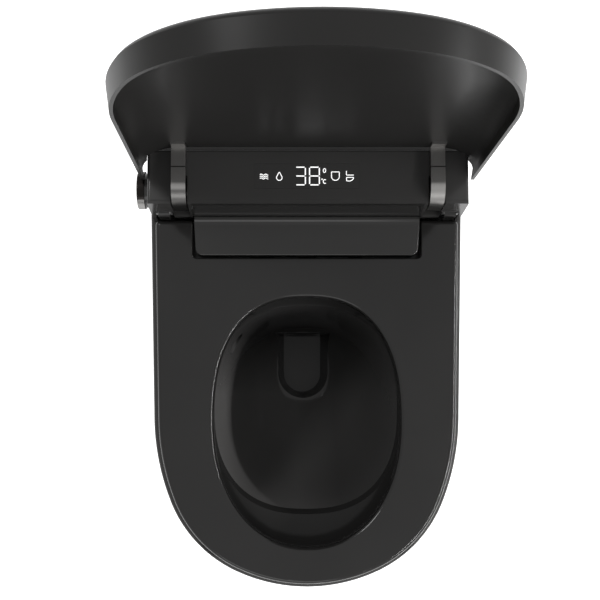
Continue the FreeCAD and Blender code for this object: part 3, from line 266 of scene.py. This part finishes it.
# ---- Display window and its signs --------------------------------------------------------
# Black acrylic strip let flush into the console's top. The digits and signs are lit from
# below through clear strokes in its black backing, so they show as thin white lines.
acrylic = Paint("black_acrylic_painted_light", Roughness=0.12, Specular_IOR_Level=0.36)
haze = acrylic.noise(16.0, 2.0)
# Painted light: the window's black is raised like the console's.
acrylic.set("Base Color", acrylic.between(
    (0.0250, 0.0246, 0.0242), (0.0290, 0.0285, 0.0281), haze))
acrylic.set("Roughness", 0.13 + 0.05 * haze)
acrylic.bump(haze, 0.00005)
finished("display_window", acrylic, "toilet")

lit = Paint("lit_signs", Roughness=0.5, Emission_Strength=0.85)
glow = lit.noise(400.0, 1.0)
lit.set("Base Color", (0.6, 0.6, 0.6, 1.0))
lit.set("Emission Color", lit.between((0.80, 0.80, 0.80), (1.0, 1.0, 1.0), glow))


def arc_points(x, y, radius, start, end, steps=10, flat=1.0):
    """Points of an arc in degrees, flattened along Y when asked."""
    turns = [math.radians(start + (end - start) * i / steps) for i in range(steps + 1)]
    return [(x + radius * math.cos(t), y + flat * radius * math.sin(t)) for t in turns]


# Places on the console in millimetres, X to the right and Y to the rear.
digit_low, digit_high = 98.3, 119.5
digit_middle = (digit_low + digit_high) / 2
digit_left, digit_width, digit_pitch = 1.9, 11.6, 16.6
digit_right = digit_left + digit_width
bar_gap = 0.9

level_bars = [[(digit_left + bar_gap, y), (digit_right - bar_gap, y)]
              for y in (digit_high, digit_low, digit_middle)]
left_bars, right_bars = (
    [[(x, digit_high - bar_gap), (x, digit_middle + bar_gap)],
     [(x, digit_middle - bar_gap), (x, digit_low + bar_gap)]] for x in (digit_left, digit_right))
eight = level_bars + left_bars + right_bars
three = [[(x - digit_pitch, y) for x, y in bar] for bar in level_bars + right_bars]

drop_tip = (-34.0, 114.0)
drop_sign = [drop_tip, *arc_points(-34.0, 106.9, 3.3, 25, -205, 14), drop_tip]
degree_dot = arc_points(19.6, 115.4, 1.5, 90, -270, 10, 1.6)
degree_ring = arc_points(16.7, 104.9, 0.55, 0, 360, 8)
celsius_c = arc_points(20.0, 102.3, 1.9, 50, 310, 10, 1.25)
seat_corner = (27.9, 113.8)
seat_sign = [seat_corner, (37.2, 113.8), (37.2, 108.3), *arc_points(32.55, 108.3, 4.65, 0, -180, 12),
             seat_corner]
lid_sign = [(45.6, 115.0), (45.6, 110.0), (54.4, 110.0)]
bowl_corner = (45.6, 107.2)
bowl_sign = [bowl_corner, (54.4, 107.2), (52.9, 104.2), (49.6, 102.8), (45.9, 103.0), bowl_corner]
wave_left, wave_pitch, wave_height, wave_turn = -57.0, 1.1, 0.75, 1.25
wave_signs = [[(wave_left + wave_pitch * i, y + wave_height * math.sin(i * wave_turn))
               for i in range(10)] for y in (105.9, 108.2, 110.5)]

bold_lines = three + eight
fine_lines = [drop_sign, degree_dot, degree_ring, celsius_c, seat_sign, lid_sign, bowl_sign,
              *wave_signs]
bold_width, fine_width = 0.0014, 0.0010
same_point = 1e-6


def stroke_tree(paint):
    """Draws a flat rounded stroke along every line of the mesh that it is put on."""
    tree = bpy.data.node_groups.new("sign_stroke", "GeometryNodeTree")
    tree.interface.new_socket("Geometry", in_out="INPUT", socket_type="NodeSocketGeometry")
    for words, value in (("Stroke Width", bold_width), ("Stroke Height", 0.0002),
                         ("Corner Radius", 0.0006)):
        made = tree.interface.new_socket(words, in_out="INPUT", socket_type="NodeSocketFloat")
        made.default_value = value
    tree.interface.new_socket("Geometry", in_out="OUTPUT", socket_type="NodeSocketGeometry")
    add = tree.nodes.new
    entry, leave = add("NodeGroupInput"), add("NodeGroupOutput")
    to_curve, fillet, poly, sweep_line = (add("GeometryNode" + kind) for kind in (
        "MeshToCurve", "FilletCurve", "CurvePrimitiveQuadrilateral", "CurveToMesh"))
    fillet.mode = "POLY"
    fillet.inputs["Count"].default_value = 3
    sweep_line.inputs["Fill Caps"].default_value = True
    dress = add("GeometryNodeSetMaterial")
    dress.inputs["Material"].default_value = paint.material
    for source, target in (
            (entry.outputs["Geometry"], to_curve.inputs[0]),
            (to_curve.outputs[0], fillet.inputs["Curve"]),
            (entry.outputs["Corner Radius"], fillet.inputs["Radius"]),
            (fillet.outputs[0], sweep_line.inputs["Curve"]),
            (entry.outputs["Stroke Width"], poly.inputs["Width"]),
            (entry.outputs["Stroke Height"], poly.inputs["Height"]),
            (poly.outputs[0], sweep_line.inputs["Profile Curve"]),
            (sweep_line.outputs[0], dress.inputs[0]),
            (dress.outputs[0], leave.inputs[0])):
        tree.links.new(source, target)
    return tree


def grown(name, mesh, tree, sizes):
    """Plain mesh of what the tree makes from the mesh."""
    carrier = bpy.data.objects.new(name + "_source", mesh)
    bpy.context.scene.collection.objects.link(carrier)
    modifier = carrier.modifiers.new("shape", "NODES")
    modifier.node_group = tree
    for item in tree.interface.items_tree:
        if item.in_out == "INPUT" and item.name in sizes:
            modifier[item.identifier] = sizes[item.name]
    bpy.context.view_layer.update()
    evaluated = carrier.evaluated_get(bpy.context.evaluated_depsgraph_get())
    made = bpy.data.meshes.new_from_object(evaluated)
    bpy.data.objects.remove(carrier)
    piece = bpy.data.objects.new(name, made)
    bpy.context.scene.collection.objects.link(piece)
    return piece


def line_mesh(name, lines, height):
    """Mesh of bare edges along lines given in millimetres."""
    points, edges = [], []
    for line in lines:
        closed = math.dist(line[0], line[-1]) < same_point
        first = len(points)
        shown = line[:-1] if closed else line
        points += [(x / 1000, y / 1000, height) for x, y in shown]
        edges += [(first + i, first + i + 1) for i in range(len(shown) - 1)]
        if closed:
            edges.append((first + len(shown) - 1, first))
    mesh = bpy.data.meshes.new(name)
    mesh.from_pydata(points, edges, [])
    return mesh


window_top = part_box("display_window")[1].z
strokes = stroke_tree(lit)
for name, lines, width in (("display_digits", bold_lines, bold_width),
                           ("display_signs", fine_lines, fine_width)):
    signs = grown(name, line_mesh(name, lines, window_top), strokes, {"Stroke Width": width})
    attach(signs, "toilet")


# ---- Lid arms and control knob ------------------------------------------------------------
# The two hooked arms and the side knob are zinc castings with a dark chrome plating,
# polished along their length. A fine joint crosses each arm. Painted shade darkens each
# arm round its bend, far more on the left arm than on the right. The knob's front flank
# carries a painted highlight and its rear a painted shade.
dark_chrome = Paint("dark_chrome", Metallic=1.0, Roughness=0.2)
tone = dark_chrome.noise(14.0, 2.0)
grain = dark_chrome.noise(240.0, 3.0, 0.6, (9.0, 1.0, 1.0))
joint_place, joint_edge, joint_core = 0.118, 9e-7, 2e-7
arm_flat = dark_chrome.between((0.28, 0.274, 0.266), (0.36, 0.352, 0.342), tone)
# Painted shade round the bend of each arm: dark on the left arm, barely darker on the right.
left_bend_painted_shade = dark_chrome.between((0.11, 0.108, 0.105), (0.15, 0.147, 0.143), tone)
right_bend_painted_shade = dark_chrome.between((0.25, 0.245, 0.238), (0.33, 0.323, 0.314), tone)
on_right = dark_chrome.step(dark_chrome.along(0), -0.05, 0.05)
bend_painted_shade = dark_chrome.between(left_bend_painted_shade, right_bend_painted_shade, on_right)
arm_place = dark_chrome.along(1)
on_bend = dark_chrome.step(arm_place, 0.0925, 0.0895)
on_joint = dark_chrome.step((arm_place - joint_place) ** 2.0, joint_edge, joint_core)
dark_chrome.set("Base Color", dark_chrome.between(
    dark_chrome.between(arm_flat, bend_painted_shade, on_bend), (0.05, 0.049, 0.047), on_joint))
dark_chrome.set("Roughness", 0.26 + 0.08 * grain)
dark_chrome.bump(grain, 0.00002)
finished("lid_arm_left", dark_chrome, "lid")
finished("lid_arm_right", dark_chrome, "lid")

knob_chrome = Paint("knob_chrome", Metallic=1.0, Roughness=0.2)
turned = knob_chrome.noise(200.0, 3.0, 0.6, (1.0, 8.0, 8.0))
# Painted highlight on the knob's front flank and painted shade on its rear.
knob_rear_painted_shade = knob_chrome.between((0.013, 0.012, 0.011), (0.022, 0.020, 0.019), turned)
knob_front_painted_highlight = knob_chrome.between((0.22, 0.216, 0.212), (0.30, 0.295, 0.290), turned)
to_front = knob_chrome.step(knob_chrome.along(1), 0.0855, 0.0835)
knob_chrome.set("Base Color", knob_chrome.between(knob_rear_painted_shade, knob_front_painted_highlight, to_front))
knob_chrome.set("Roughness", 0.18 + 0.08 * turned)
knob_chrome.bump(turned, 0.00002)
finished("knob", knob_chrome, "knob")
finished("knob_collar", console_black_painted_light, "knob_push")


# ---- Rubber feet, sleeve and hoses ----------------------------------------------------------
# The seat rests on pressed-in rubber pads, and the drain sleeve is the same dull black.
# The two hoses inside the pan have a greyer woven jacket.
rubber = Paint("black_rubber", Roughness=0.62)
skin = rubber.noise(180.0, 3.0)
rubber.set("Base Color", rubber.between((0.018, 0.018, 0.018), (0.034, 0.033, 0.032), skin))
rubber.set("Roughness", 0.55 + 0.2 * skin)
rubber.bump(skin, 0.0001)
for node, body in (("seat_bumpers", "seat"), ("outlet_sleeve", "toilet")):
    finished(node, rubber, body)

hose_rubber = Paint("hose_rubber", Roughness=0.5)
weave = hose_rubber.noise(320.0, 2.0)
hose_rubber.set("Base Color", hose_rubber.between(
    (0.05, 0.05, 0.05), (0.11, 0.11, 0.11), weave))
hose_rubber.bump(weave, 0.00015)
for node in ("supply_hose", "jet_hose"):
    finished(node, hose_rubber, "toilet")


# ---- Steel, brass and chrome fittings ---------------------------------------------------------
# Turned shafts and screws, pressed brackets, the wand's thin tube and the motor cans are
# stainless or plated steel. The stop valve is machined brass, its inlet chrome plated.
def metal(name, low, high, roughness, stretch):
    """Bare metal whose tool lines run across the stretched axis."""
    paint = Paint(name, Metallic=1.0, Roughness=roughness)
    lines = paint.noise(300.0, 3.0, 0.6, stretch)
    paint.set("Base Color", paint.between(low, high, lines))
    paint.set("Roughness", (roughness - 0.06) + 0.14 * lines)
    paint.bump(lines, 0.00002)
    return paint


steel = metal("brushed_steel", (0.50, 0.50, 0.50), (0.66, 0.66, 0.65), 0.28, (1.0, 12.0, 1.0))
brass = metal("machined_brass", (0.52, 0.40, 0.18), (0.66, 0.50, 0.26), 0.3, (1.0, 1.0, 10.0))
chrome = metal("bright_chrome", (0.70, 0.70, 0.70), (0.78, 0.78, 0.78), 0.1, (1.0, 1.0, 1.0))
for node, body in (("floor_brackets", "toilet"), ("side_screws", "toilet"), ("pump_motor", "toilet"),
                   ("fixing_bolts", "toilet"), ("seat_shafts", "seat"), ("lid_shafts", "lid"),
                   ("knob_stem", "knob_push"), ("wand", "wand"), ("wand_motor", "toilet"),
                   ("blower_motor", "toilet"), ("water_heater", "toilet")):
    finished(node, steel, body)
finished("inlet_valve", brass, "toilet")
finished("water_inlet", chrome, "toilet")


# ---- Inner mouldings ---------------------------------------------------------------------------
# Tank, ducts, cases and guides inside the pan and console are plain moulded plastic with
# a spark-eroded grain, light grey for the parts that touch clean water and dark grey
# for the rest.
def moulding(name, low, high):
    """Plain plastic with a fine eroded grain."""
    paint = Paint(name, Roughness=0.5)
    eroded = paint.noise(420.0, 4.0, 0.6)
    cloud = paint.noise(12.0, 2.0)
    paint.set("Base Color", paint.between(low, high, cloud))
    paint.set("Roughness", 0.42 + 0.18 * eroded)
    paint.bump(eroded, 0.00008)
    return paint


light_moulding = moulding("light_moulding", (0.50, 0.50, 0.48), (0.60, 0.60, 0.58))
dark_moulding = moulding("dark_moulding", (0.006, 0.006, 0.006), (0.012, 0.012, 0.012))
for node, body in (("inlet_union", "toilet"), ("tank", "toilet"), ("tank_lid", "toilet"),
                   ("fill_valve", "toilet"), ("wand_tip", "wand"), ("blower_wheel", "blower_wheel"),
                   ("deodoriser_fan", "deodoriser_fan"), ("diverter", "toilet"),
                   ("board_posts", "toilet")):
    finished(node, light_moulding, body)
for node, body in (("power_gland", "toilet"), ("float_cup", "float_cup"), ("pump_body", "toilet"),
                   ("seat_base", "toilet"), ("display_frame", "toilet"), ("lid_dampers", "toilet"),
                   ("nozzle_guide", "toilet"), ("warm_duct", "toilet"), ("air_flap", "air_flap"),
                   ("blower_case", "toilet"), ("deodoriser_case", "toilet"),
                   ("power_supply", "toilet")):
    finished(node, dark_moulding, body)
charcoal = moulding("charcoal_filter", (0.012, 0.012, 0.012), (0.03, 0.03, 0.03))
finished("filter_drawer", charcoal, "filter_drawer")


# ---- Boards and heating foil ---------------------------------------------------------------------
# Glass-fibre circuit boards in green lacquer sit on posts in the console. The seat warms
# by an etched foil glued under its face.
lacquer = Paint("board_lacquer", Roughness=0.35)
fibre = lacquer.noise(900.0, 2.0, 0.5, (1.0, 0.2, 1.0))
lacquer.set("Base Color", lacquer.between((0.01, 0.10, 0.04), (0.02, 0.16, 0.07), fibre))
lacquer.bump(fibre, 0.00003)
for node in ("display_board", "knob_board", "main_board"):
    finished(node, lacquer, "toilet")
foil = metal("heating_foil", (0.60, 0.60, 0.60), (0.74, 0.74, 0.74), 0.3, (4.0, 1.0, 1.0))
finished("seat_heater", foil, "seat")


# ---- Floor and light --------------------------------------------------------------------------------
# White studio floor under an even soft light. A narrow strip on the right draws the thin
# bright lines along the rounded edges.
floor_half, floor_drop = 6, 0.0005
floor_corners = [(x * floor_half, y * floor_half, 0) for x, y in ((-1, -1), (1, -1), (1, 1), (-1, 1))]
floor_mesh = bpy.data.meshes.new("floor")
floor_mesh.from_pydata(floor_corners, [], [(0, 1, 2, 3)])
floor = bpy.data.objects.new("floor", floor_mesh)
floor.location.z = -floor_drop
bpy.context.scene.collection.objects.link(floor)
white = Paint("studio_floor", Roughness=0.9, Emission_Color=(1.0, 1.0, 1.0, 1.0))
white.set("Base Color", (0.86, 0.86, 0.86, 1.0))
rays = white.tree.nodes.new("ShaderNodeLightPath")
seen, glossy, through = (Field(white, rays.outputs["Is " + kind + " Ray"])
                         for kind in ("Camera", "Glossy", "Transmission"))
white.set("Emission Strength", 0.75 * seen + 0.3 * (glossy + through))
floor_mesh.materials.append(white.material)

world = bpy.data.worlds.new("studio")
bpy.context.scene.world = world
world.use_nodes = True
sky = world.node_tree.nodes["Background"]
sky.inputs["Color"].default_value = (1.0, 1.0, 1.0, 1.0)
path = world.node_tree.nodes.new("ShaderNodeLightPath")
strength = world.node_tree.nodes.new("ShaderNodeMapRange")
light_on_object, white_backdrop = 0.75, 1.0
strength.inputs["To Min"].default_value = light_on_object
strength.inputs["To Max"].default_value = white_backdrop
world.node_tree.links.new(path.outputs["Is Camera Ray"], strength.inputs["Value"])
world.node_tree.links.new(strength.outputs["Result"], sky.inputs["Strength"])


def strip(name, place, aim, width, length, watts):
    """Soft lamp at the place, turned to the point it lights."""
    data = bpy.data.lights.new(name, "AREA")
    data.shape, data.size, data.size_y, data.energy = "RECTANGLE", width, length, watts
    lamp = bpy.data.objects.new(name, data)
    lamp.location = place
    lamp.rotation_mode = "QUATERNION"
    lamp.rotation_quaternion = (Vector(aim) - Vector(place)).to_track_quat("-Z", "Y")
    bpy.context.scene.collection.objects.link(lamp)


strip("right_strip", place=(1.55, -0.76, 1.4), aim=(0.0, -0.1, 0.4), width=2.2, length=0.04, watts=40.0)
strip("front_soft", place=(-0.4, -2.2, 1.6), aim=(0.0, 0.0, 0.4), width=1.6, length=1.0, watts=9.0)
strip("left_high", place=(-1.2, 0.8, 2.3), aim=(0.0, -0.2, 0.3), width=0.5, length=0.5, watts=14.0)
